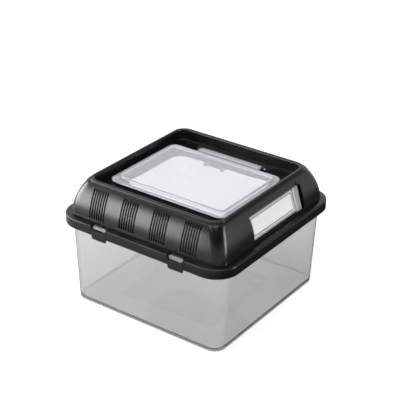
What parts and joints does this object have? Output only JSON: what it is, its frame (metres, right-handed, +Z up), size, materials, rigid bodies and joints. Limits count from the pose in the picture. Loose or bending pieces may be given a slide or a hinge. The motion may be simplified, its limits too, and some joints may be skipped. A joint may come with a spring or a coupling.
{
  "type": "pet_keeper",
  "caption": "Square clear plastic box for small pets with a vented black domed lid, a clear feeding door sunk in its top, two front pull latches and a label holder",
  "frame": {"origin": "centre of the tub's foot, on the surface it stands on", "axes": "+X to the right along the latch side, where the label holder is, -Y out of the latch side, +Z up"},
  "size_m": [0.205, 0.205, 0.136],
  "materials": {
    "clear_tub": "polished clear polystyrene",
    "black_lid": "satin black moulding",
    "clear_door": "polished clear polystyrene, faintly blue",
    "black_latch": "satin black moulding",
    "clear_cover": "polished clear",
    "label_card": "blank white card"
  },
  "bodies": {
    "tub_body": {"tub": "clear_tub"},
    "lid_body": {"lid": "black_lid"},
    "door_body": {"feeding_door": "clear_door"},
    "latch_left_body": {"latch_left": "black_latch"},
    "latch_right_body": {"latch_right": "black_latch"},
    "label_body": {"label_cover": "clear_cover", "label_card": "label_card"}
  },
  "joints": [
    {"name": "lid_hinge", "type": "hinge", "parent": "tub_body", "child": "lid_body", "pos_m": [0, 0.099, 0.0902], "axis": [-1, 0, 0], "range_deg": [0, 100]},
    {"name": "door_hinge", "type": "hinge", "parent": "lid_body", "child": "door_body", "pos_m": [0, 0.059, 0.1275], "axis": [-1, 0, 0], "range_deg": [0, 135]},
    {"name": "latch_left_flex", "type": "hinge", "parent": "lid_body", "child": "latch_left_body", "pos_m": [-0.047, -0.1009, 0.0962], "axis": [-1, 0, 0], "range_deg": [0, 15], "stiffness_Nm_per_rad": 0.05},
    {"name": "latch_right_flex", "type": "hinge", "parent": "lid_body", "child": "latch_right_body", "pos_m": [0.047, -0.1009, 0.0962], "axis": [-1, 0, 0], "range_deg": [0, 15], "stiffness_Nm_per_rad": 0.05},
    {"name": "label_cover_pull", "type": "slide", "parent": "lid_body", "child": "label_body", "axis": [0.9533, 0, 0.3021], "range_m": [0, 0.01]}
  ]
}
